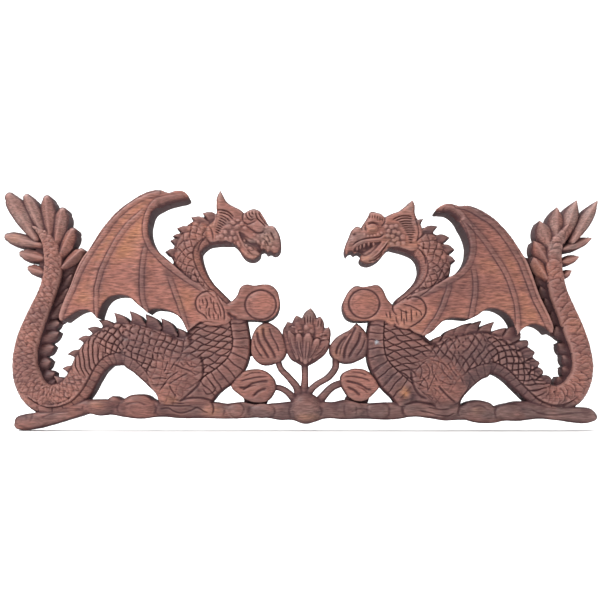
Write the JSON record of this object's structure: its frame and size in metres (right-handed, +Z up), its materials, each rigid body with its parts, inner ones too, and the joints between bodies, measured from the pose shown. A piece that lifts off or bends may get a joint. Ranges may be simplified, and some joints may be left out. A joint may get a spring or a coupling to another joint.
{
  "type": "carved wall panel",
  "caption": "Wooden wall panel in pierced relief: two dragons facing each other over a lotus with leaves, on a wavy base strip.",
  "frame": {"origin": "on the flat back, behind the lotus flower", "axes": "+X along the panel to the viewer's right, +Y out of the flat back towards the wall, +Z up"},
  "size_m": [0.4994, 0.025, 0.2013],
  "materials": {
    "carved_wood": "oiled, satin, with dark stain in the grooves"
  },
  "bodies": {
    "root": {"carved_panel": "carved_wood"}
  },
  "joints": []
}
